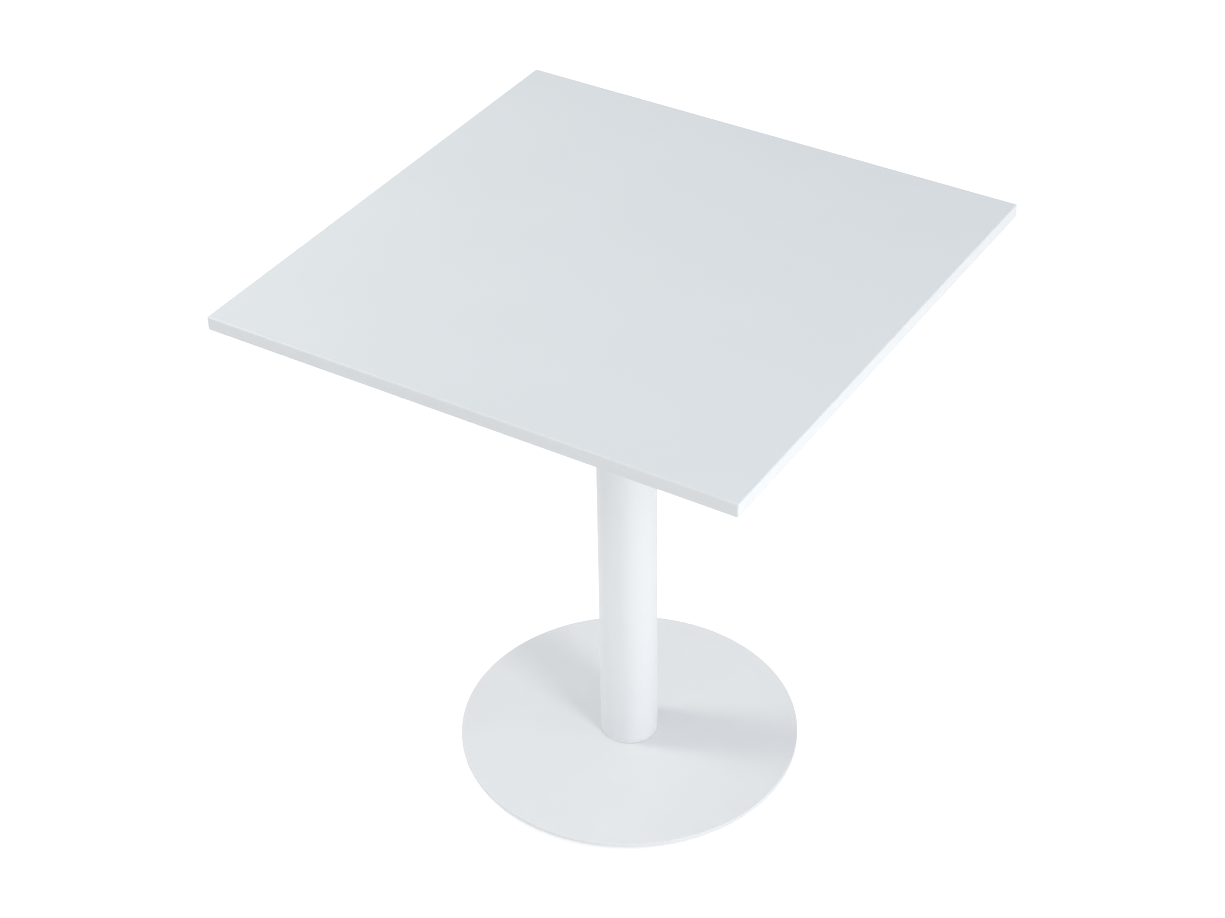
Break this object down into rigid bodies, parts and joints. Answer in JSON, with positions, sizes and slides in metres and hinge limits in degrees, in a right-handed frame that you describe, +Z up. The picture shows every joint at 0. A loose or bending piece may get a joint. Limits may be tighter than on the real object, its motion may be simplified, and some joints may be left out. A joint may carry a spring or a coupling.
{
  "type": "bistro table",
  "caption": "Square white laminate bistro table on a round steel column and a flat round base plate with levelling glides.",
  "frame": {"origin": "centre of the table's footprint, on the floor under the glide pads", "axes": "+Z up along the column; +X and +Y along the top's sides, with edge_band_front facing -Y"},
  "size_m": [0.69, 0.69, 0.75],
  "materials": {
    "white_laminate": "satin laminate, fine orange peel",
    "backing_laminate": "matt balancing laminate",
    "white_edging": "satin plastic edging",
    "particle_board": "raw particle board",
    "white_powder_coat": "satin powder coat",
    "zinc_plated_steel": "bright zinc plate",
    "black_nylon": "moulded nylon"
  },
  "bodies": {
    "table": {"top_laminate_upper": "white_laminate", "top_core_board": "particle_board", "top_laminate_under": "backing_laminate", "edge_band_front": "white_edging", "edge_band_back": "white_edging", "edge_band_left": "white_edging", "edge_band_right": "white_edging", "threaded_inserts": "zinc_plated_steel", "top_fixing_plate": "white_powder_coat", "fixing_plate_washers": "zinc_plated_steel", "fixing_plate_screws": "zinc_plated_steel", "column_tube": "white_powder_coat", "column_upper_boss": "white_powder_coat", "column_lower_boss": "white_powder_coat", "upper_boss_screws": "zinc_plated_steel", "lower_boss_screws": "zinc_plated_steel", "base_plate": "white_powder_coat", "glide_bosses": "white_powder_coat"},
    "glide_pad_1": {"glide_pad_1": "black_nylon"},
    "glide_stud_1": {"glide_stud_1": "zinc_plated_steel"},
    "glide_pad_2": {"glide_pad_2": "black_nylon"},
    "glide_stud_2": {"glide_stud_2": "zinc_plated_steel"},
    "glide_pad_3": {"glide_pad_3": "black_nylon"},
    "glide_stud_3": {"glide_stud_3": "zinc_plated_steel"},
    "glide_pad_4": {"glide_pad_4": "black_nylon"},
    "glide_stud_4": {"glide_stud_4": "zinc_plated_steel"}
  },
  "joints": [
    {"name": "glide_height_1", "type": "slide", "parent": "table", "child": "glide_pad_1", "axis": [0, 0, 1], "range_m": [-0.00375, 0]},
    {"name": "glide_turn_1", "type": "hinge", "parent": "glide_pad_1", "child": "glide_stud_1", "pos_m": [0.13081, 0.13081, 0.0045], "axis": [0, 0, 1], "range_deg": [-1080.6, 0]},
    {"name": "glide_height_2", "type": "slide", "parent": "table", "child": "glide_pad_2", "axis": [0, 0, 1], "range_m": [-0.00375, 0]},
    {"name": "glide_turn_2", "type": "hinge", "parent": "glide_pad_2", "child": "glide_stud_2", "pos_m": [-0.13081, 0.13081, 0.0045], "axis": [0, 0, 1], "range_deg": [-1080.6, 0]},
    {"name": "glide_height_3", "type": "slide", "parent": "table", "child": "glide_pad_3", "axis": [0, 0, 1], "range_m": [-0.00375, 0]},
    {"name": "glide_turn_3", "type": "hinge", "parent": "glide_pad_3", "child": "glide_stud_3", "pos_m": [-0.13081, -0.13081, 0.0045], "axis": [0, 0, 1], "range_deg": [-1080.6, 0]},
    {"name": "glide_height_4", "type": "slide", "parent": "table", "child": "glide_pad_4", "axis": [0, 0, 1], "range_m": [-0.00375, 0]},
    {"name": "glide_turn_4", "type": "hinge", "parent": "glide_pad_4", "child": "glide_stud_4", "pos_m": [0.13081, -0.13081, 0.0045], "axis": [0, 0, 1], "range_deg": [-1080.6, 0]}
  ],
  "couplings": [
    {"joint": "glide_turn_1", "follows": "glide_height_1", "rad_per_m": 5026.5},
    {"joint": "glide_turn_2", "follows": "glide_height_2", "rad_per_m": 5026.5},
    {"joint": "glide_turn_3", "follows": "glide_height_3", "rad_per_m": 5026.5},
    {"joint": "glide_turn_4", "follows": "glide_height_4", "rad_per_m": 5026.5}
  ]
}
